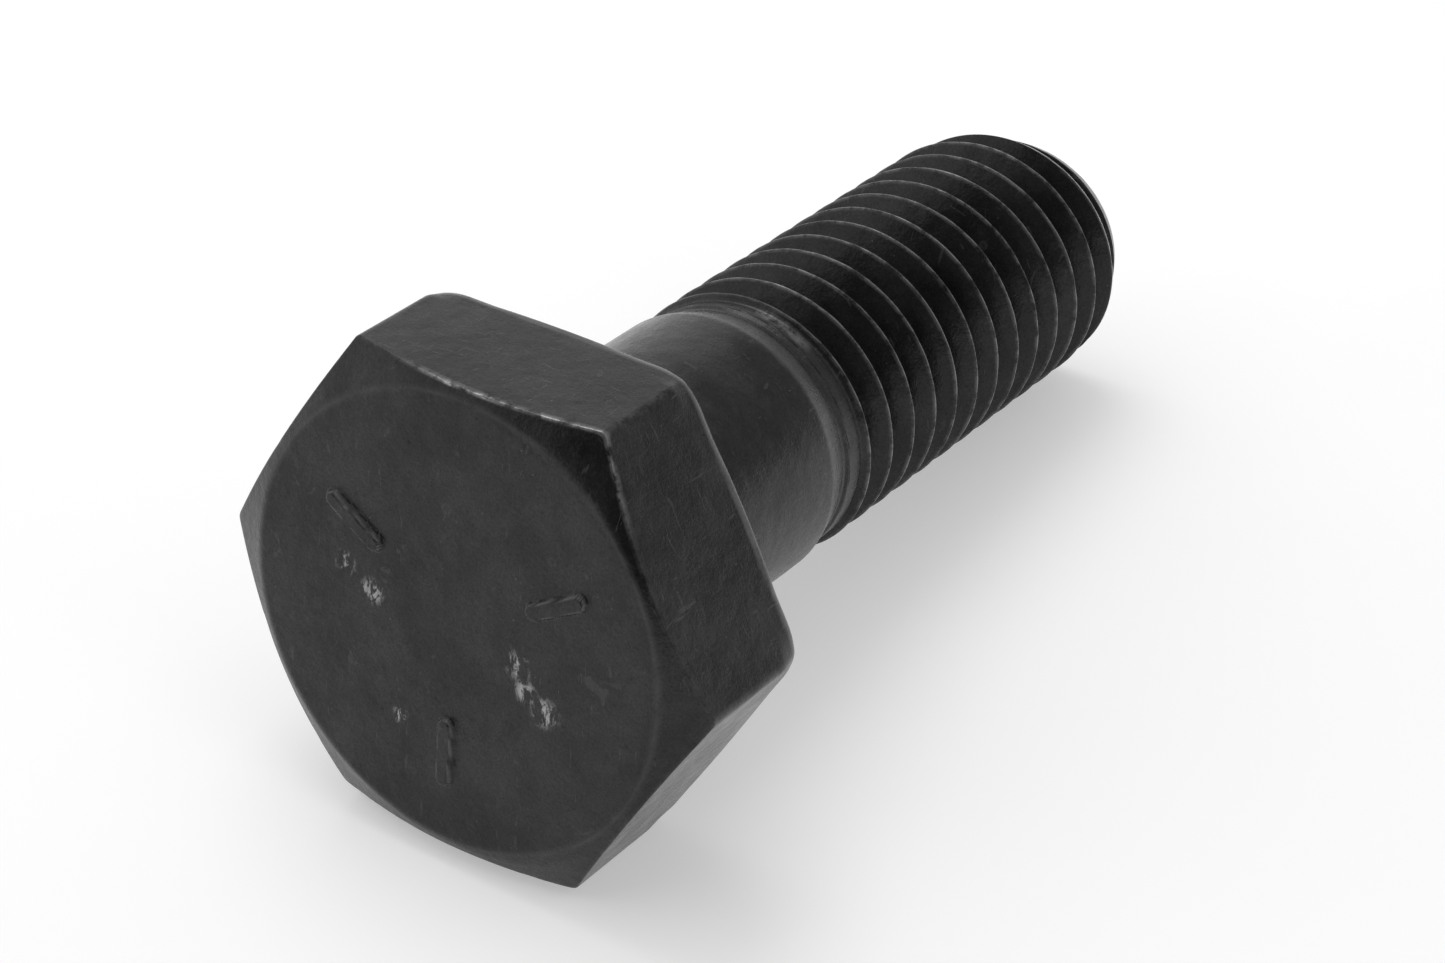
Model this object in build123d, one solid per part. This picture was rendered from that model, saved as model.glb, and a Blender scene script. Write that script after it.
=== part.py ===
from build123d import *
import math
import os

# Heavy hex structural bolt, 5/8-11 UNC x 2 in, in millimetres.
# The bolt lies along Y. The origin is the centre of the bearing face under the head,
# the shank runs towards +Y, and the head's outer face looks towards -Y.
# +Z is square to one wrench flat. The solids are the forging's three portions, cut
# where the fillet under the head meets the shank, and where the thread begins.

# Driving dimensions
THREAD_PITCH = 25.4 / 11
MAJOR_DIAMETER = 15.75
BODY_DIAMETER = 15.75
ACROSS_FLATS = 26.5
HEAD_HEIGHT = 9.6
LENGTH_UNDER_HEAD = 48.0
PLAIN_LENGTH = 14.0

# Head
FACE_CIRCLE_DIAMETER = 25.3
FACE_CHAMFER_ANGLE = 28
FACE_EDGE_RADIUS = 0.6
CORNER_RADIUS = 0.9
UNDERSIDE_EDGE_RADIUS = 0.45
WASHER_FACE_DIAMETER = 25.2
WASHER_FACE_HEIGHT = 0.4

# Raised radial bars on the outer face, the general mark for a medium-strength bolt
BAR_LENGTH = 4.2
BAR_WIDTH = 1.0
BAR_HEIGHT = 0.3
BAR_CENTRE_RADIUS = 7.4
BAR_ANGLES = (30, 150, 270)

# Shank, and the neck between it and the thread
UNDERHEAD_FILLET = 0.8
SHOULDER_LENGTH = 2.2
NECK_DIAMETER = 15.0

# Thread, in the unified form
CREST_WIDTH = THREAD_PITCH / 8
THREAD_DEPTH = 17 / 24 * math.sqrt(3) / 2 * THREAD_PITCH
FLANK_ANGLE = 30
FIRST_CREST = 17.81
CREST_RISE_LENGTH = 1.2
GROOVE_FADE_LENGTH = 2.0
POINT_DIAMETER = 12.6
POINT_LENGTH = 3.3

# How far the groove's cutting shape stands proud of the crests, and how far the bar's
# seam line is turned away from where the groove starts
CUTTER_OVERRUN = 0.1
SEAM_ANGLE = 17

ROOT_RADIUS = MAJOR_DIAMETER / 2 - THREAD_DEPTH
SHOULDER_END = PLAIN_LENGTH + SHOULDER_LENGTH
CREST_START = SHOULDER_END + CREST_RISE_LENGTH


def turned(*outline):
    """Solid of revolution about Y, from (radius, y) points."""
    return revolve(make_face(Polyline(*outline, close=True)), Axis.Y)


def slope(run, angle):
    """Rise of a line at this angle in degrees over this run."""
    return run * math.tan(math.radians(angle))


def hexagon_blank():
    """Six-sided bar from the outer face to the underside, its long edges rounded."""
    corners = RegularPolygon(ACROSS_FLATS / 2, 6, major_radius=False)
    section = fillet(corners.vertices(), CORNER_RADIUS)
    start = Plane.XZ.offset(WASHER_FACE_HEIGHT)
    bar = extrude(start * section, HEAD_HEIGHT - WASHER_FACE_HEIGHT)
    underside = bar.faces().sort_by(Axis.Y)[-1]
    return fillet(underside.edges(), UNDERSIDE_EDGE_RADIUS)


def face_chamfer_envelope():
    """Turned shape whose cone takes the corners off the outer face."""
    face_radius = FACE_CIRCLE_DIAMETER / 2
    reach = ACROSS_FLATS
    cone_end = slope(reach - face_radius, FACE_CHAMFER_ANGLE) - HEAD_HEIGHT
    return turned(
        (0, -HEAD_HEIGHT),
        (face_radius, -HEAD_HEIGHT),
        (reach, cone_end),
        (reach, reach),
        (0, reach),
    )


def raised_bar(angle):
    """One radial bar standing on the outer face."""
    plan = Rot(Z=angle) * Pos(X=BAR_CENTRE_RADIUS) * SlotOverall(BAR_LENGTH, BAR_WIDTH)
    return extrude(Plane.XZ.offset(HEAD_HEIGHT) * plan, BAR_HEIGHT)


def washer_face():
    """Bearing disc under the head, with the fillet that leads into the shank."""
    washer = WASHER_FACE_DIAMETER / 2
    body = BODY_DIAMETER / 2
    flare_foot = (body + UNDERHEAD_FILLET, 0)
    flare_end = (body, UNDERHEAD_FILLET)
    flare = RadiusArc(flare_foot, flare_end, UNDERHEAD_FILLET)
    rest = Polyline(
        flare_end,
        (0, UNDERHEAD_FILLET),
        (0, -WASHER_FACE_HEIGHT),
        (washer, -WASHER_FACE_HEIGHT),
        (washer, 0),
        flare_foot,
    )
    return revolve(make_face(flare + rest), Axis.Y)


def hex_head():
    """Head with its chamfer, washer face and raised bars."""
    head = hexagon_blank() & face_chamfer_envelope()
    outer_face = head.faces().sort_by(Axis.Y)[0]
    head = fillet(outer_face.edges(), FACE_EDGE_RADIUS) + washer_face()
    for angle in BAR_ANGLES:
        head += raised_bar(angle)
    return head


def shank():
    """Plain shank, bevelled down to the neck."""
    body = BODY_DIAMETER / 2
    return turned(
        (0, UNDERHEAD_FILLET),
        (body, UNDERHEAD_FILLET),
        (body, PLAIN_LENGTH),
        (NECK_DIAMETER / 2, SHOULDER_END),
        (0, SHOULDER_END),
    )


def grooved_bar():
    """Bar with the right-hand groove cut along it, longer than the thread at both ends."""
    start = FIRST_CREST - 2.5 * THREAD_PITCH
    turns = math.ceil((LENGTH_UNDER_HEAD - start) / THREAD_PITCH) + 1
    mouth = MAJOR_DIAMETER / 2 + CUTTER_OVERRUN
    half_root = (THREAD_PITCH - CREST_WIDTH) / 2 - slope(THREAD_DEPTH, FLANK_ANGLE)
    half_mouth = half_root + slope(mouth - ROOT_RADIUS, FLANK_ANGLE)
    section = Polyline(
        (ROOT_RADIUS, -half_root),
        (mouth, -half_mouth),
        (mouth, half_mouth),
        (ROOT_RADIUS, half_root),
        close=True,
    )
    path = Helix(THREAD_PITCH, turns * THREAD_PITCH, ROOT_RADIUS)
    groove = sweep(Plane.XZ * make_face(section), path, is_frenet=True)
    bar = Rot(Z=SEAM_ANGLE) * Cylinder(MAJOR_DIAMETER / 2, 3 * LENGTH_UNDER_HEAD)
    return Pos(Y=start) * Rot(X=-90) * (bar - groove)


def thread_envelope():
    """Turned shape of the crests: they rise from the neck and taper to the point."""
    major = MAJOR_DIAMETER / 2
    return turned(
        (0, SHOULDER_END),
        (NECK_DIAMETER / 2, SHOULDER_END),
        (major, CREST_START),
        (major, LENGTH_UNDER_HEAD - POINT_LENGTH),
        (POINT_DIAMETER / 2, LENGTH_UNDER_HEAD),
        (0, LENGTH_UNDER_HEAD),
    )


def groove_fade():
    """Neck left whole inside the first crests, coned off where the groove deepens."""
    return turned(
        (0, SHOULDER_END),
        (NECK_DIAMETER / 2, SHOULDER_END),
        (NECK_DIAMETER / 2, CREST_START),
        (ROOT_RADIUS, CREST_START + GROOVE_FADE_LENGTH),
        (0, CREST_START + GROOVE_FADE_LENGTH),
    )


def threaded_end():
    """Rolled thread with its run-out and point."""
    return (grooved_bar() & thread_envelope()) + groove_fade()


os.makedirs("parts", exist_ok=True)
portions = {"hex_head": hex_head(), "shank": shank(), "threaded_end": threaded_end()}
for name, solid in portions.items():
    export_step(solid, f"parts/{name}.step")
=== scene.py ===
"""Looks for the heavy hex bolt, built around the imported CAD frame.

Axes are the CAD's: the bolt lies along +Y from its bearing face, the head's outer face
looks towards -Y, and +Z is square to one wrench flat. Lengths in this script are in
millimetres until a mesh is made, and MM turns them into Blender's metres.
"""

import math

import bmesh
import bpy
import numpy as np
from mathutils import Matrix, Vector, noise


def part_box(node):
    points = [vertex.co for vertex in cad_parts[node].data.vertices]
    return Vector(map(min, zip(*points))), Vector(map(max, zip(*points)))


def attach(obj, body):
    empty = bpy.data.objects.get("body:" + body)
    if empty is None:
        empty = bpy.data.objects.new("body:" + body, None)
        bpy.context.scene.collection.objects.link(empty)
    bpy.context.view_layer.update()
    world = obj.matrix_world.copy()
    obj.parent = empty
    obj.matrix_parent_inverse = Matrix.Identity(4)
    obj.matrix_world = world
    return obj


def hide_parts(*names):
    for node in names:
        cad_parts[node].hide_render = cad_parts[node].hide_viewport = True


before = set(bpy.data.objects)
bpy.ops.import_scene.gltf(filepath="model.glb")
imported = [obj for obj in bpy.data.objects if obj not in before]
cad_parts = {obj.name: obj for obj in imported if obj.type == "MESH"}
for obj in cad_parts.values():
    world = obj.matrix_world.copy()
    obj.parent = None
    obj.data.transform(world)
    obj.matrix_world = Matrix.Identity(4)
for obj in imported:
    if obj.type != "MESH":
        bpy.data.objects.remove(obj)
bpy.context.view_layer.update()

MM = 0.001


def cad_extent(node):
    """Lowest and highest corners of a CAD node, in millimetres."""
    low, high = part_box(node)
    return low / MM, high / MM


# ---------------------------------------------------------------- sizes from the frame
head_low, head_high = cad_extent("hex_head")
shank_low, shank_high = cad_extent("shank")
thread_low, thread_high = cad_extent("threaded_end")

HALF_FLATS = head_high.z
FILLET_END = head_high.y
BODY_RADIUS = shank_high.x
SHOULDER_END = shank_high.y
MAJOR_RADIUS = thread_high.x
POINT_END = thread_high.y

# ---------------------------------------------------------------- sizes of the details
# Angles go round the bolt's axis from +X towards +Z. A lean is how far a face moves
# towards the point for each millimetre along X and along Z.

# Head: the outer face, its chamfer, and the six-sided bar with its edges
FACE_INSET = 0.52
FACE_Y = head_low.y + FACE_INSET
FACE_LEAN = (-0.0267, 0.0338)
FACE_CIRCLE_RADIUS = 12.68
FACE_CHAMFER = math.radians(27.5)
FACE_EDGE_RADIUS = 3.0
CRISP_EDGE_RADIUS = 0.9
CRISP_EDGE_ANGLE = math.radians(215)
CORNER_RADIUS = 0.45
WORN_EDGE_RADIUS = 0.14
WORN_EDGE_ANGLE = math.radians(75)
NICK_DEPTH = 0.1
FORGED_WAVE = 0.035

# Underside of the head
UNDERSIDE_CORNER_RADIUS = 3.2
UNDERSIDE_CORNER_HEIGHT = 1.6
UNDERSIDE_BEND_RADIUS = 2.0
UNDERSIDE_EDGE_RADIUS = 0.6
WASHER_FACE_Y = -0.4
WASHER_FACE_RADIUS = 12.6
WASHER_EDGE_RADIUS = 0.12
WASHER_FOOT_RADIUS = 0.08

# Raised radial bars on the outer face
BAR_ANGLES = [math.radians(angle) for angle in (30, 150, 270)]
BAR_CENTRE_RADIUS = 7.4
BAR_LENGTH = 4.2
BAR_WIDTH = 1.1
BAR_HEIGHT = 0.35
BAR_WALL = 0.2
BAR_MARGIN = 0.1

# Shank, its bevel, and the crease and neck before the thread
PLAIN_END = 14.0
BEVEL_END = 15.75
CREASE_RADIUS = 7.38
BEVEL_START_RADIUS = 1.5
NECK_RADIUS = 7.5
# Where round the axis the neck gets a painted highlight
PAINTED_SHINE_ANGLE = math.radians(73)
SHANK_WAVE = 0.012

# Thread and its point
PITCH = 25.4 / 11
FLANK_ANGLE = math.radians(30)
CREST_HALF_WIDTH = 0.05
THREAD_DEPTH = 17 / 24 * math.sqrt(3) / 2 * PITCH
FIRST_CREST = 17.81
CREST_RISE_LENGTH = 1.2
GROOVE_FADE_LENGTH = 1.0
CREST_NICK_DEPTH = 0.03
POINT_START = POINT_END - 3.48
POINT_TIP = POINT_END - 0.5
POINT_RADIUS = 6.43
POINT_LEAN = (0.0965, -0.0241)

# ---------------------------------------------------------------- mesh fineness
# Columns go round the axis. Rows lie in half a pitch of the thread. The two least values
# keep small arcs and the thread's caps from shrinking until welding would tear the mesh.
HEAD_COLUMNS = 540
SHANK_COLUMNS = 360
THREAD_COLUMNS = 180
ARC_STEPS = 4
LEAST_SETBACK = 0.02
LEAST_CAP = 0.001
ROWS_CREST = 3
ROWS_FLANK = 8
ROWS_ROOT = 3
WELD_DISTANCE = 1e-6
SHARP_ANGLE = math.radians(50)

# How far apart in the noise field two seeds lie
SEED_STEP = 17.3


# ---------------------------------------------------------------- profiles and grids
def smooth_min(a, b, blend):
    """The smaller of two arrays, rounded over the blend length where they cross."""
    mix = np.clip(0.5 + 0.5 * (b - a) / blend, 0, 1)
    return b + (a - b) * mix - blend * mix * (1 - mix)


def smooth_max(a, b, blend):
    """The larger of two arrays, rounded over the blend length where they cross."""
    return -smooth_min(-a, -b, blend)


def smooth_step(x, start, end):
    """0 up to the start, 1 from the end on, and an easy slope between."""
    t = np.clip((x - start) / (end - start), 0, 1)
    return t * t * (3 - 2 * t)


def rounded_profile(corners, columns):
    """Profile points through (radius, y, rounding, steps) corners, for every column at once.

    Each corner is replaced by a smooth arc of the given rounding, and each straight run
    up to it is split into the given number of steps. Returns radius and y arrays of
    columns by rings.
    """
    points = []
    for radius, y, rounding, steps in corners:
        place = np.empty((columns, 2))
        place[:, 0] = radius
        place[:, 1] = y
        points.append((place, rounding, steps))
    rings = [points[0][0]]
    for before, here, after in zip(points, points[1:], points[2:]):
        corner, rounding, steps = here
        back = before[0] - corner
        ahead = after[0] - corner
        back_length = np.linalg.norm(back, axis=1, keepdims=True)
        ahead_length = np.linalg.norm(ahead, axis=1, keepdims=True)
        back = back / np.maximum(back_length, 1e-9)
        ahead = ahead / np.maximum(ahead_length, 1e-9)
        half_angle = np.arccos(np.clip((back * ahead).sum(1, keepdims=True), -1, 1)) / 2
        setback = rounding / np.tan(np.maximum(half_angle, 0.02))
        if np.any(rounding):
            setback = np.maximum(setback, LEAST_SETBACK)
        setback = np.minimum(setback, 0.45 * np.minimum(back_length, ahead_length))
        arc_start = corner + back * setback
        arc_end = corner + ahead * setback
        start = rings[-1]
        for step in range(1, steps + 1):
            rings.append(start + (arc_start - start) * step / steps)
        if np.any(rounding):
            for t in np.linspace(0, 1, ARC_STEPS + 1)[1:]:
                rings.append((1 - t) ** 2 * arc_start + 2 * t * (1 - t) * corner + t**2 * arc_end)
    last, _, steps = points[-1]
    start = rings[-1]
    for step in range(1, steps + 1):
        rings.append(start + (last - start) * step / steps)
    grid = np.stack(rings, axis=1)
    return grid[..., 0], grid[..., 1]


def grid_to_points(angle, radius, y):
    """Points in millimetres from cylindrical grids about the bolt's axis."""
    return np.stack([radius * np.cos(angle), y, radius * np.sin(angle)], axis=-1)


def lean_at(lean, angle, radius):
    """How far a leaning face lies towards the point at a place on it."""
    return (lean[0] * np.cos(angle) + lean[1] * np.sin(angle)) * radius


def perlin(points, scale, seed):
    """Smooth noise from -1 to 1 at an array of points; scale is waves per millimetre."""
    flat = points.reshape(-1, 3) * scale + seed * SEED_STEP
    values = [noise.noise(Vector(p)) for p in flat]
    return np.array(values).reshape(points.shape[:-1])


def add_piece(name, points, faces, marks, node, material):
    """Mesh object from points in millimetres, welded, riding on the root in place of its node.

    marks holds point values from 0 to 1 that the material reads by name.
    """
    mesh = bpy.data.meshes.new(name)
    mesh.from_pydata((points * MM).tolist(), [], faces)
    for key, values in marks.items():
        mesh.attributes.new(key, "FLOAT", "POINT").data.foreach_set("value", values)
    work = bmesh.new()
    work.from_mesh(mesh)
    bmesh.ops.remove_doubles(work, verts=work.verts, dist=WELD_DISTANCE)
    bmesh.ops.dissolve_degenerate(work, edges=work.edges, dist=WELD_DISTANCE)
    bmesh.ops.recalc_face_normals(work, faces=work.faces)
    for edge in work.edges:
        if len(edge.link_faces) == 2 and edge.calc_face_angle() > SHARP_ANGLE:
            edge.smooth = False
    work.to_mesh(mesh)
    work.free()
    mesh.shade_smooth()
    mesh.materials.append(material)
    piece = bpy.data.objects.new(name, mesh)
    bpy.context.scene.collection.objects.link(piece)
    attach(piece, "root")
    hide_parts(node)
    return piece


def ring_faces(columns, rings):
    """Quads of a closed grid whose columns wrap round the axis."""
    faces = []
    for column in range(columns):
        beside = (column + 1) % columns
        for ring in range(rings - 1):
            here = column * rings + ring
            there = beside * rings + ring
            faces.append((here, there, there + 1, here + 1))
    return faces


def surface_normals(points):
    """Unit normals of a wrapped grid of points, for moving them in or out."""
    along = np.gradient(points, axis=1)
    around = np.roll(points, -1, axis=0) - np.roll(points, 1, axis=0)
    normal = np.cross(along, around)
    return normal / np.maximum(np.linalg.norm(normal, axis=-1, keepdims=True), 1e-9)


def turned_piece(name, node, material, angle, radius, y, relief, marks):
    """Piece from cylindrical grids; relief moves the surface along its normal."""
    points = grid_to_points(angle, radius, y)
    outward = surface_normals(points)
    centre_y = (y.min() + y.max()) / 2
    if ((points - [0, centre_y, 0]) * outward).sum() < 0:
        outward = -outward
    points = points + outward * relief[..., None]
    columns, rings = radius.shape
    flat_marks = {key: values.reshape(-1) for key, values in marks.items()}
    return add_piece(
        name, points.reshape(-1, 3), ring_faces(columns, rings), flat_marks, node, material
    )


# ---------------------------------------------------------------- head
def from_corner_angle(angle):
    """Angle to the nearest of the six corners, the first of which is at angle zero."""
    sixth = math.pi / 3
    return (angle + sixth / 2) % sixth - sixth / 2


def hexagon_radius(angle, corner_radius):
    """Distance from the axis to the six flats, with rounded corners."""
    sixth = math.pi / 3
    from_corner = from_corner_angle(angle)
    from_flat = angle % sixth - sixth / 2
    flat = HALF_FLATS / np.cos(from_flat)
    reach = (HALF_FLATS - corner_radius) / math.cos(sixth / 2)
    across = reach * np.sin(from_corner)
    depth = np.sqrt(np.maximum(corner_radius**2 - across**2, 0))
    round_corner = reach * np.cos(from_corner) + depth
    tangent_angle = math.atan2(
        corner_radius * math.sin(sixth / 2), reach + corner_radius * math.cos(sixth / 2)
    )
    return np.where(np.abs(from_corner) < tangent_angle, round_corner, flat)


def cone_y(radius):
    """Where the face chamfer's cone lies at this radius."""
    return FACE_Y + (radius - FACE_CIRCLE_RADIUS) * math.tan(FACE_CHAMFER)


def head_profile(angle, hexagon):
    """Radius and y of the head's surface from the middle of its face to the shank."""
    underside = hexagon_radius(angle, UNDERSIDE_CORNER_RADIUS)
    crispness = smooth_step(np.cos(angle - CRISP_EDGE_ANGLE), 0.2, 0.6)[:, None]
    face_edge = FACE_EDGE_RADIUS + (CRISP_EDGE_RADIUS - FACE_EDGE_RADIUS) * crispness
    bars_start = BAR_CENTRE_RADIUS - BAR_LENGTH / 2 - BAR_MARGIN
    bars_end = BAR_CENTRE_RADIUS + BAR_LENGTH / 2 + BAR_MARGIN
    corners = [
        (0.0, FACE_Y, 0, 0),
        (bars_start, FACE_Y, 0, 12),
        (bars_end, FACE_Y, 0, 54),
        (FACE_CIRCLE_RADIUS, FACE_Y, face_edge, 20),
        (hexagon, cone_y(hexagon), WORN_EDGE_RADIUS, 12),
        (hexagon, WASHER_FACE_Y - UNDERSIDE_CORNER_HEIGHT, UNDERSIDE_BEND_RADIUS, 20),
        (underside, WASHER_FACE_Y, UNDERSIDE_EDGE_RADIUS, 6),
        (WASHER_FACE_RADIUS, WASHER_FACE_Y, WASHER_FOOT_RADIUS, 3),
        (WASHER_FACE_RADIUS, 0, WASHER_EDGE_RADIUS, 2),
        (BODY_RADIUS + FILLET_END, 0, 0.02, 8),
        # About halfway round the fillet
        (BODY_RADIUS + 0.25 * FILLET_END, 0.3 * FILLET_END, 0.6, 3),
        (BODY_RADIUS, FILLET_END, 0, 3),
        (0.0, FILLET_END, 0, 4),
    ]
    return rounded_profile(corners, len(angle))


def bar_heights(x, z):
    """Height of the raised radial bars over the outer face, from 0 to BAR_HEIGHT."""
    height = np.zeros_like(x)
    for bar_angle in BAR_ANGLES:
        along = x * math.cos(bar_angle) + z * math.sin(bar_angle) - BAR_CENTRE_RADIUS
        across = z * math.cos(bar_angle) - x * math.sin(bar_angle)
        half_run = (BAR_LENGTH - BAR_WIDTH) / 2
        outside = np.hypot(np.maximum(np.abs(along) - half_run, 0), across)
        wall = 1 - smooth_step(outside, BAR_WIDTH / 2 - BAR_WALL, BAR_WIDTH / 2)
        height = np.maximum(height, BAR_HEIGHT * wall)
    return height


def build_head(material):
    """Hexagonal head: outer face, chamfer, six flats, washer face and fillet."""
    angle = np.arange(HEAD_COLUMNS) * 2 * math.pi / HEAD_COLUMNS
    hexagon = hexagon_radius(angle, CORNER_RADIUS)
    radius, y = head_profile(angle, hexagon)
    hexagon = hexagon[:, None]
    angle_grid = np.broadcast_to(angle[:, None], radius.shape)
    points = grid_to_points(angle_grid, radius, y)

    bar_height = bar_heights(points[..., 0], points[..., 2])
    bar_height = bar_height * (1 - smooth_step(y, FACE_Y, FACE_Y + 0.05))
    bar_share = bar_height / BAR_HEIGHT
    # Painted highlight along the bars' rims
    bar_rim = smooth_step(bar_share, 0.4, 0.7) * (1 - smooth_step(bar_share, 0.95, 1.0))

    # The edge between chamfer and flats is worn bright mostly on one side
    edge_gap = np.abs(y - cone_y(hexagon)) + np.abs(radius - hexagon)
    worn_side = smooth_step(np.cos(angle - WORN_EDGE_ANGLE), 0.8, 0.95)[:, None]
    wear_and_highlight = (1 - smooth_step(edge_gap, 0.06, 0.3)) * (0.12 + 0.88 * worn_side)
    nicks = NICK_DEPTH * wear_and_highlight * smooth_step(perlin(points, 0.9, 3), 0.15, 0.5)

    # The bearing side stays true, everything else is slightly wavy from forging
    forged = (y < WASHER_FACE_Y - 0.1) | (radius > WASHER_FACE_RADIUS)
    waves = FORGED_WAVE * perlin(points, 0.16, 5) * forged
    relief = bar_height - nicks + waves

    from_corner = np.abs(from_corner_angle(angle))[:, None] * radius
    on_flat = 1 - smooth_step(hexagon - radius, 0, 0.15)
    corner_line = (1 - smooth_step(from_corner, 0.05, 0.35)) * on_flat
    circle_line = np.exp(-(((radius - FACE_CIRCLE_RADIUS) / 0.15) ** 2)) * (y < FACE_Y + 0.4)
    on_underside = smooth_step(y, WASHER_FACE_Y - 0.75, WASHER_FACE_Y - 0.5)
    underside_line = on_underside * (radius > WASHER_FACE_RADIUS)
    # Besides wear on the edges, the marks hold rubbing at the face circle and painted highlights
    # on the underside edge and the bars' rims
    marks = {
        "wear_and_highlight": np.clip(wear_and_highlight + 0.25 * corner_line, 0, 1),
        "rubbed_and_highlight": np.clip(0.35 * circle_line + underside_line + bar_rim, 0, 1),
    }
    lean_share = np.clip((y - WASHER_FACE_Y) / (FACE_Y - WASHER_FACE_Y), 0, 1)
    y = y + lean_share * lean_at(FACE_LEAN, angle_grid, radius)
    return turned_piece("bolt_head", "hex_head", material, angle_grid, radius, y, relief, marks)


# ---------------------------------------------------------------- shank
def build_shank(material):
    """Plain shank with the bevel that leads down to the thread."""
    angle = np.arange(SHANK_COLUMNS) * 2 * math.pi / SHANK_COLUMNS
    corners = [
        (0.0, FILLET_END, 0, 0),
        (BODY_RADIUS, FILLET_END, 0, 4),
        (BODY_RADIUS, PLAIN_END, BEVEL_START_RADIUS, 60),
        (CREASE_RADIUS, BEVEL_END, 0.15, 10),
        (CREASE_RADIUS, SHOULDER_END - 0.25, 0.1, 3),
        (NECK_RADIUS, SHOULDER_END - 0.05, 0.05, 3),
        (NECK_RADIUS, SHOULDER_END, 0, 3),
        (0.0, SHOULDER_END, 0, 4),
    ]
    radius, y = rounded_profile(corners, SHANK_COLUMNS)
    angle_grid = np.broadcast_to(angle[:, None], radius.shape)
    points = grid_to_points(angle_grid, radius, y)
    before_neck = 1 - smooth_step(y, SHOULDER_END - 1.2, SHOULDER_END - 0.1)
    away_from_ends = smooth_step(y, FILLET_END, FILLET_END + 1.5) * before_neck
    relief = SHANK_WAVE * perlin(points, 0.25, 11) * away_from_ends
    on_bevel = 1 - smooth_step(y, BEVEL_END - 0.5, BEVEL_END - 0.1)
    bevel = smooth_step(y, PLAIN_END - 0.3, PLAIN_END + 0.2) * on_bevel
    # The bevel gets a painted highlight
    marks = {
        "wear_and_highlight": np.zeros_like(radius),
        "rubbed_and_highlight": 0.4 * bevel,
    }
    return turned_piece("bolt_shank", "shank", material, angle_grid, radius, y, relief, marks)


# ---------------------------------------------------------------- thread
def pitch_rows():
    """Offsets along the axis of the rows in one pitch, crest at zero, closer at the bends."""
    flank_end = CREST_HALF_WIDTH + THREAD_DEPTH * math.tan(FLANK_ANGLE)
    half = np.concatenate(
        [
            np.linspace(0, CREST_HALF_WIDTH, ROWS_CREST, endpoint=False),
            np.linspace(CREST_HALF_WIDTH, flank_end, ROWS_FLANK, endpoint=False),
            np.linspace(flank_end, PITCH / 2, ROWS_ROOT, endpoint=False),
        ]
    )
    return np.concatenate([[-PITCH / 2], -half[:0:-1], half, [PITCH / 2]])


def thread_radius(from_crest):
    """Radius of the endless thread at a distance along the axis from the nearest crest."""
    fall = (np.abs(from_crest) - CREST_HALF_WIDTH) / math.tan(FLANK_ANGLE)
    depth = smooth_min(fall, np.full_like(fall, THREAD_DEPTH), 0.2)
    depth = smooth_max(depth, np.zeros_like(fall), 0.05)
    return MAJOR_RADIUS - depth


def crest_outline(y, angle):
    """Radius of the turned outline that the crests reach: neck, full thread and point."""
    rise = np.clip((y - SHOULDER_END) / CREST_RISE_LENGTH, 0, 1)
    crest = NECK_RADIUS + (MAJOR_RADIUS - NECK_RADIUS) * np.sin(rise * math.pi / 2)
    past_start = y - lean_at(POINT_LEAN, angle, MAJOR_RADIUS) - POINT_START
    taper = (MAJOR_RADIUS - POINT_RADIUS) / (POINT_TIP - POINT_START)
    return smooth_min(crest, MAJOR_RADIUS - past_start * taper, 0.2)


def groove_floor(y):
    """Least radius of the groove: the neck's at first, then just clear of the roots."""
    fade = np.clip((y - SHOULDER_END - CREST_RISE_LENGTH) / GROOVE_FADE_LENGTH, 0, 1)
    return NECK_RADIUS + (MAJOR_RADIUS - THREAD_DEPTH - 0.1 - NECK_RADIUS) * fade


def strip_faces(columns, rows):
    """Quads of an open grid."""
    faces = []
    for column in range(columns - 1):
        for row in range(rows - 1):
            here = column * rows + row
            there = here + rows
            faces.append((here, there, there + 1, here + 1))
    return faces


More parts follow.
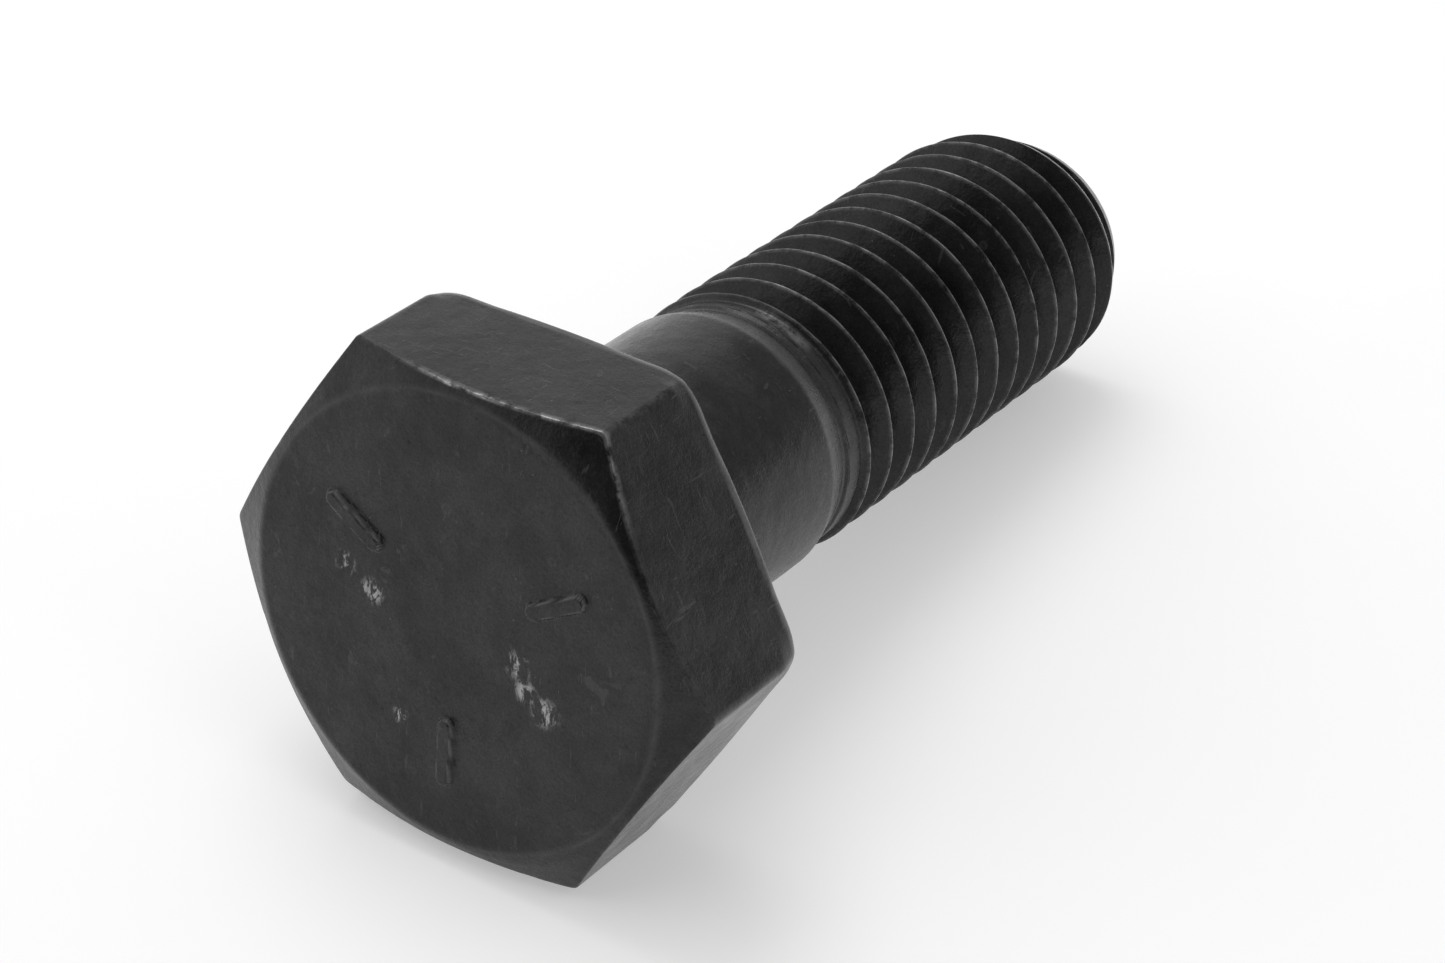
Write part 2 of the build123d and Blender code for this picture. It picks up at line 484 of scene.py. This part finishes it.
def build_thread(material):
    """Rolled right-hand thread as one helical strip, closed by its two end faces.

    The strip runs on past both ends of the thread, where it is laid flat on the end
    face and drawn in to the axis over one pitch of travel.
    """
    rows = pitch_rows()
    first = SHOULDER_END - 2 * PITCH
    start_turn = math.floor((first - FIRST_CREST) / PITCH)
    turns = math.ceil((POINT_END + PITCH - first) / PITCH) + 2
    turn = np.arange(turns * THREAD_COLUMNS + 1)[:, None] / THREAD_COLUMNS
    travel = FIRST_CREST + (start_turn + turn) * PITCH + rows[None, :]
    angle = np.broadcast_to(-turn * 2 * math.pi, travel.shape)
    end_y = POINT_TIP + lean_at(POINT_LEAN, angle, POINT_RADIUS)
    y = np.clip(travel, SHOULDER_END, end_y)
    start_cap = np.clip((travel - SHOULDER_END + PITCH) / PITCH, 0, 1)
    end_cap = np.clip((end_y + PITCH - travel) / PITCH, 0, 1)
    outline = crest_outline(y, angle)

    place = grid_to_points(angle, outline, y)
    uneven = perlin(place, 0.8, 21)
    ripple = perlin(place, 2.4, 23)
    on_crest = np.exp(-((rows[None, :] / (1.2 * CREST_HALF_WIDTH)) ** 2))
    radius = thread_radius(rows[None, :] + 0.03 * uneven)
    radius = smooth_max(radius, groove_floor(y), 0.1)
    radius = np.minimum(radius, outline)
    radius = radius - CREST_NICK_DEPTH * on_crest * np.clip(uneven + 0.6 * ripple, 0, 1)
    radius = np.where(y <= SHOULDER_END, NECK_RADIUS, radius)
    cap = np.minimum(start_cap, end_cap)
    radius = radius * cap * (cap > LEAST_CAP)
    end_face = POINT_TIP + lean_at(POINT_LEAN, angle, radius)
    y = np.where(travel > end_y, end_face, y)

    # Crests are worn all along; the neck gets a painted highlight over a short arc
    full_crest = smooth_step(y, SHOULDER_END + 0.8, SHOULDER_END + CREST_RISE_LENGTH + 0.3)
    painted_shine = smooth_step(np.cos(angle - PAINTED_SHINE_ANGLE), 0.955, 0.99)
    painted_shine = painted_shine * smooth_step(y, SHOULDER_END + 0.15, SHOULDER_END + 0.4)
    painted_shine = painted_shine * (1 - smooth_step(y, SHOULDER_END + 0.7, SHOULDER_END + 1.0))
    wear_and_highlight = np.maximum(on_crest * full_crest * (end_cap > 0.99), 0.8 * painted_shine)
    marks = {"wear_and_highlight": wear_and_highlight.reshape(-1), "rubbed_and_highlight": np.zeros(wear_and_highlight.size)}
    points = grid_to_points(angle, radius, y).reshape(-1, 3)
    faces = strip_faces(*travel.shape)
    return add_piece("bolt_thread", points, faces, marks, "threaded_end", material)


# ---------------------------------------------------------------- materials
def add_node(tree, kind, **settings):
    """New node in a tree. A setting is a property of the node, or else an input, given as
    a value or a socket. Inputs go by name, with _ for a space, or by number, as in _0."""
    made = tree.nodes.new(kind)
    inputs = {}
    for key, value in settings.items():
        if hasattr(made, key):
            setattr(made, key, value)
        else:
            inputs[key] = value
    for key, value in inputs.items():
        name = int(key[1:]) if key[0] == "_" else key.replace("_", " ")
        socket = made.inputs[name]
        if isinstance(value, bpy.types.NodeSocket):
            tree.links.new(value, socket)
        else:
            socket.default_value = value
    return made


class Shader:
    """Short names for building one material's nodes. Places are in millimetres."""

    def __init__(self, name):
        self.material = bpy.data.materials.new(name)
        self.material.use_nodes = True
        self.tree = self.material.node_tree
        self.tree.nodes.clear()
        coordinates = self.node("ShaderNodeTexCoord").outputs["Object"]
        self.place = self.node(
            "ShaderNodeVectorMath", operation="SCALE", Vector=coordinates, Scale=1 / MM
        ).outputs["Vector"]

    def node(self, kind, **settings):
        return add_node(self.tree, kind, **settings)

    def noise(self, scale, detail=3.0, roughness=0.5, distortion=0.0, place=None):
        """Cloudy noise about 0.5; scale is waves per millimetre."""
        return self.node(
            "ShaderNodeTexNoise",
            Vector=place or self.place,
            Scale=scale,
            Detail=detail,
            Roughness=roughness,
            Distortion=distortion,
        ).outputs["Fac"]

    def stretched(self, stretch, turn=(0, 0, 0)):
        """Coordinates squeezed along chosen axes, for marks that run one way."""
        return self.node(
            "ShaderNodeMapping", Vector=self.place, Scale=stretch, Rotation=turn
        ).outputs["Vector"]

    def ramp(self, value, low, high, start=0.0, end=1.0):
        """Value between low and high mapped to start..end and held beyond them."""
        return self.node(
            "ShaderNodeMapRange",
            _0=value,
            _1=low,
            _2=high,
            _3=start,
            _4=end,
            interpolation_type="SMOOTHSTEP",
        ).outputs[0]

    def math(self, operation, a, b=0.0):
        """Sum, product or the like of two values."""
        return self.node("ShaderNodeMath", operation=operation, _0=a, _1=b).outputs[0]

    def mark(self, name):
        """Value from 0 to 1 that the mesh holds at its points."""
        return self.node("ShaderNodeAttribute", attribute_name=name).outputs["Fac"]

    def grey(self, value):
        """Neutral colour of this value."""
        return self.node("ShaderNodeCombineColor", Red=value, Green=value, Blue=value).outputs[0]

    def bump(self, height, distance, before=None):
        """Bump of a 0..1 height over a distance in millimetres."""
        settings = {"Height": height, "Distance": distance * MM, "Strength": 1.0}
        if before:
            settings["Normal"] = before
        return self.node("ShaderNodeBump", **settings).outputs["Normal"]

    def finish(self, surface):
        """Material with this surface node."""
        output = self.node("ShaderNodeOutputMaterial")
        self.tree.links.new(surface.outputs[0], output.inputs["Surface"])
        return self.material


# Thin scratches: how the coordinates are stretched and turned, and the noise scale
SCRATCH_FAMILIES = (
    ((0.35, 3.0, 0.35), (0.5, 0.3, 0.9), 1.6),
    ((2.6, 0.3, 0.5), (0.2, 1.1, 0.4), 1.4),
)
# Pale scuffs as (x, y, z, size)
FACE_SCUFFS = (
    (-7.0, FACE_Y, 1.0, 0.9),
    (-5.2, FACE_Y, 0.0, 1.0),
    (4.2, FACE_Y, -0.6, 1.1),
    (4.8, FACE_Y, -1.9, 1.0),
    (6.0, FACE_Y, -2.6, 1.2),
    (-3.0, FACE_Y, -6.5, 0.7),
)


def scratches(shader):
    """Thin broken lines running two ways."""
    lines = 0.0
    for stretch, turn, scale in SCRATCH_FAMILIES:
        strokes = shader.noise(scale, 2, 0.5, 0.9, shader.stretched(stretch, turn))
        lines = shader.math("MAXIMUM", lines, shader.ramp(strokes, 0.69, 0.73))
    return lines


def flecks(shader):
    """Scattered bright dots, about a tenth of a millimetre across."""
    cells = shader.node("ShaderNodeTexVoronoi", Vector=shader.place, Scale=1.3)
    chosen = shader.node("ShaderNodeSeparateColor", Color=cells.outputs["Color"]).outputs[0]
    dot = shader.ramp(cells.outputs["Distance"], 0.08, 0.03)
    return shader.math("MULTIPLY", dot, shader.ramp(chosen, 0.74, 0.80))


def ring_spots(shader):
    """Faint rings left by dried oil drops."""
    cells = shader.node("ShaderNodeTexVoronoi", Vector=shader.place, Scale=0.36)
    chosen = shader.node("ShaderNodeSeparateColor", Color=cells.outputs["Color"]).outputs[1]
    from_ring = shader.math("SUBTRACT", cells.outputs["Distance"], 0.09)
    ring = shader.ramp(shader.math("ABSOLUTE", from_ring), 0.035, 0.012)
    return shader.math("MULTIPLY", ring, shader.ramp(chosen, 0.5, 0.8))


def scuffed_patches(shader, scuffs):
    """Torn pale patches at the given places."""
    torn_place = shader.stretched((1.0, 1.0, 0.5), (0, 0.5, 0))
    torn = shader.ramp(shader.noise(2.2, 5, 0.7, 0.6, torn_place), 0.48, 0.60)
    patches = 0.0
    for x, y, z, size in scuffs:
        gap = shader.node(
            "ShaderNodeVectorMath", operation="DISTANCE", _0=shader.place, _1=(x, y, z)
        ).outputs["Value"]
        patches = shader.math("MAXIMUM", patches, shader.ramp(gap, size, 0.3 * size))
    return shader.math("MULTIPLY", patches, torn)


def bare_metal_and_highlight(shader, lines, scuff):
    """Share of the surface made bright, from 0 to 1: rubbed bare metal, and painted highlights
    carried by the marks.
    """
    broken = shader.ramp(shader.noise(1.1, 5, 0.7), 0.36, 0.60)
    patchy = shader.ramp(shader.noise(0.5, 4, 0.6), 0.25, 0.6, 0.16, 0.45)
    shares = (
        shader.math("MULTIPLY", shader.mark("rubbed_and_highlight"), patchy),
        shader.math("MULTIPLY", lines, 0.12),
        shader.math("MULTIPLY", flecks(shader), 0.4),
        shader.math("MULTIPLY", ring_spots(shader), 0.1),
        scuff,
    )
    total = shader.math("MULTIPLY", shader.mark("wear_and_highlight"), broken)
    for share in shares:
        total = shader.math("MAXIMUM", total, share)
    return total


def dark_steel(name, tone, scuffs=()):
    """Dark oiled steel: mottled, finely grained, scratched, rubbed bright on its edges, and
    brightened by painted highlights where the marks carry them.
    """
    shader = Shader(name)
    mottle = shader.noise(0.22, 6, 0.62)
    cloud = shader.noise(0.9, 5, 0.6)
    grain = shader.noise(7.0, 3, 0.65)
    streak = shader.noise(2.2, 4, 0.6, 0.3, shader.stretched((1.0, 0.3, 1.0), (0.1, 0.2, 0.05)))
    pits = shader.ramp(shader.noise(3.6, 3, 0.6), 0.60, 0.72)
    lines = scratches(shader)
    scuff = scuffed_patches(shader, scuffs)
    bare_and_highlight = bare_metal_and_highlight(shader, lines, scuff)

    grey = shader.ramp(mottle, 0.35, 0.68, 0.004 * tone, 0.009 * tone)
    grey = shader.math("MULTIPLY", grey, shader.ramp(grain, 0.3, 0.7, 0.8, 1.2))
    # Rubbed metal and painted highlights lighten the colour
    grey = shader.math("ADD", grey, shader.math("MULTIPLY", bare_and_highlight, 0.20))
    grey = shader.math("ADD", grey, shader.math("MULTIPLY", scuff, 0.12))

    polish = shader.ramp(mottle, 0.3, 0.7, 0.45, 0.55)
    polish = shader.math("MULTIPLY", polish, shader.ramp(cloud, 0.3, 0.7, 0.95, 1.05))
    polish = shader.math("MULTIPLY", polish, shader.ramp(grain, 0.3, 0.7, 0.86, 1.14))
    polish = shader.math("MULTIPLY", polish, shader.ramp(pits, 0, 1, 1.0, 0.72))

    rough = shader.ramp(mottle, 0.3, 0.7, 0.20, 0.29)
    rough = shader.math("ADD", rough, shader.ramp(streak, 0.35, 0.65, -0.03, 0.04))

    normal = shader.bump(grain, 0.014)
    normal = shader.bump(streak, 0.008, normal)
    normal = shader.bump(cloud, 0.05, normal)
    normal = shader.bump(lines, 0.004, normal)

    surface = shader.node(
        "ShaderNodeBsdfPrincipled",
        Base_Color=shader.grey(grey),
        Metallic=shader.math("MULTIPLY", bare_and_highlight, 0.8),
        Roughness=rough,
        IOR=1.39,
        Specular_IOR_Level=polish,
        Normal=normal,
    )
    return shader.finish(surface)


def pale_sheet():
    """Matt pale sheet with a soft glow of its own, which keeps the shadow faint."""
    shader = Shader("pale_sheet")
    surface = shader.node(
        "ShaderNodeBsdfPrincipled",
        Base_Color=shader.grey(shader.ramp(shader.noise(0.02, 3), 0.3, 0.7, 0.64, 0.66)),
        Roughness=0.95,
        Emission_Color=(1, 1, 1, 1),
        Emission_Strength=0.38,
    )
    return shader.finish(surface)


# ---------------------------------------------------------------- stage
FLOOR_SIZE = 4000
FLOOR_GAP = 0.02


def rest_plane():
    """A point on the floor and its upward normal. The bolt lies on the rear edge of its
    bottom flat and on the last crest, so the floor rises from the head to the point."""
    head_contact = Vector((0, WASHER_FACE_Y, -HALF_FLATS))
    tip_contact = Vector((0, POINT_END - (MAJOR_RADIUS - POINT_RADIUS), -MAJOR_RADIUS))
    along = tip_contact - head_contact
    normal = Vector((1, 0, 0)).cross(along).normalized()
    return head_contact - normal * FLOOR_GAP, normal


def build_floor():
    """Flat square sheet that the bolt lies on."""
    point, normal = rest_plane()
    lean = Vector((0, 0, 1)).rotation_difference(normal).to_matrix()
    half = FLOOR_SIZE / 2
    outline = ((-half, -half, 0), (half, -half, 0), (half, half, 0), (-half, half, 0))
    corners = [(point + lean @ Vector(corner)) * MM for corner in outline]
    mesh = bpy.data.meshes.new("floor")
    mesh.from_pydata(corners, [], [(0, 1, 2, 3)])
    mesh.materials.append(pale_sheet())
    floor = bpy.data.objects.new("floor", mesh)
    bpy.context.scene.collection.objects.link(floor)


def area_light(name, place, target, size, power):
    """Round soft lamp aimed at a target."""
    light = bpy.data.lights.new(name, "AREA")
    light.shape = "DISK"
    light.size = size * MM
    light.energy = power
    lamp = bpy.data.objects.new(name, light)
    lamp.location = Vector(place) * MM
    lamp.rotation_euler = (Vector(target) - Vector(place)).to_track_quat("-Z", "Y").to_euler()
    bpy.context.scene.collection.objects.link(lamp)


# Dark openings of the tent: the way they lie from the bolt, how much light they take
# away, and the cosines from their centre where they start and where they are darkest
DARK_OPENINGS = (
    ((0.40, -0.90, 0.15), 0.9, 0.66, 0.78),
    ((0.52, 0.75, 0.40), 0.5, 0.62, 0.76),
    ((-0.46, 0.73, 0.50), 0.13, 0.80, 0.93),
)
TENT_STRENGTH = 0.95


def tent_strength(tree):
    """Brightness of the tent by direction: the camera sees it plain, without openings."""
    direction = add_node(tree, "ShaderNodeTexCoord").outputs["Generated"]
    strength = TENT_STRENGTH
    for towards, depth, start, core in DARK_OPENINGS:
        centre = Vector(towards).normalized()
        cosine = add_node(
            tree, "ShaderNodeVectorMath", operation="DOT_PRODUCT", _0=direction, _1=centre
        ).outputs["Value"]
        fade = add_node(
            tree, "ShaderNodeMapRange", _0=cosine, _1=start, _2=core, _3=1.0, _4=1.0 - depth
        ).outputs[0]
        strength = add_node(
            tree, "ShaderNodeMath", operation="MULTIPLY", _0=fade, _1=strength
        ).outputs[0]
    seen = add_node(tree, "ShaderNodeLightPath").outputs["Is Camera Ray"]
    plain = add_node(
        tree, "ShaderNodeMath", operation="MULTIPLY", _0=seen, _1=TENT_STRENGTH
    ).outputs[0]
    return add_node(
        tree, "ShaderNodeMath", operation="MAXIMUM", _0=strength, _1=plain
    ).outputs[0]


def build_light():
    """White tent with dark openings, and a soft lamp above."""
    world = bpy.data.worlds.new("tent")
    bpy.context.scene.world = world
    world.use_nodes = True
    tree = world.node_tree
    background = tree.nodes["Background"]
    background.inputs["Color"].default_value = (1, 1, 1, 1)
    tree.links.new(tent_strength(tree), background.inputs["Strength"])
    area_light("top_lamp", (-150, 60, 420), (0, 15, 0), 300, 0.6)


# Camera: a long lens looking along the bolt from the head's side. The azimuth is how far
# its gaze turns from +Y towards -X, the elevation how far it looks down.
CAMERA_AZIMUTH = math.radians(31.87)
CAMERA_ELEVATION = math.radians(30.04)
CAMERA_ROLL = math.radians(3.7)
CAMERA_DISTANCE = 195
CAMERA_AIM = Vector((5.88, 5.89, 3.69))
LENS = 93.67
SENSOR_WIDTH = 36


def build_camera():
    """Camera at its distance from the point that it is aimed at."""
    lens = bpy.data.cameras.new("camera")
    lens.lens = LENS
    lens.sensor_width = SENSOR_WIDTH
    lens.clip_start = 10 * MM
    camera = bpy.data.objects.new("camera", lens)
    turn = (
        Matrix.Rotation(CAMERA_AZIMUTH, 4, "Z")
        @ Matrix.Rotation(math.pi / 2 - CAMERA_ELEVATION, 4, "X")
        @ Matrix.Rotation(CAMERA_ROLL, 4, "Z")
    )
    back = turn @ Vector((0, 0, CAMERA_DISTANCE))
    camera.matrix_world = Matrix.Translation((CAMERA_AIM + back) * MM) @ turn
    bpy.context.scene.collection.objects.link(camera)
    bpy.context.scene.camera = camera


# ---------------------------------------------------------------- scene
bpy.context.scene.view_settings.view_transform = "Standard"
# The shank and thread get a lighter tone than the head: painted brightness that stands in for how
# light falls on them
build_head(dark_steel("dark_steel_head", 1.2, FACE_SCUFFS))
build_shank(dark_steel("dark_steel_shank", 1.8))
build_thread(dark_steel("dark_steel_thread", 1.6))
build_floor()
build_light()
build_camera()
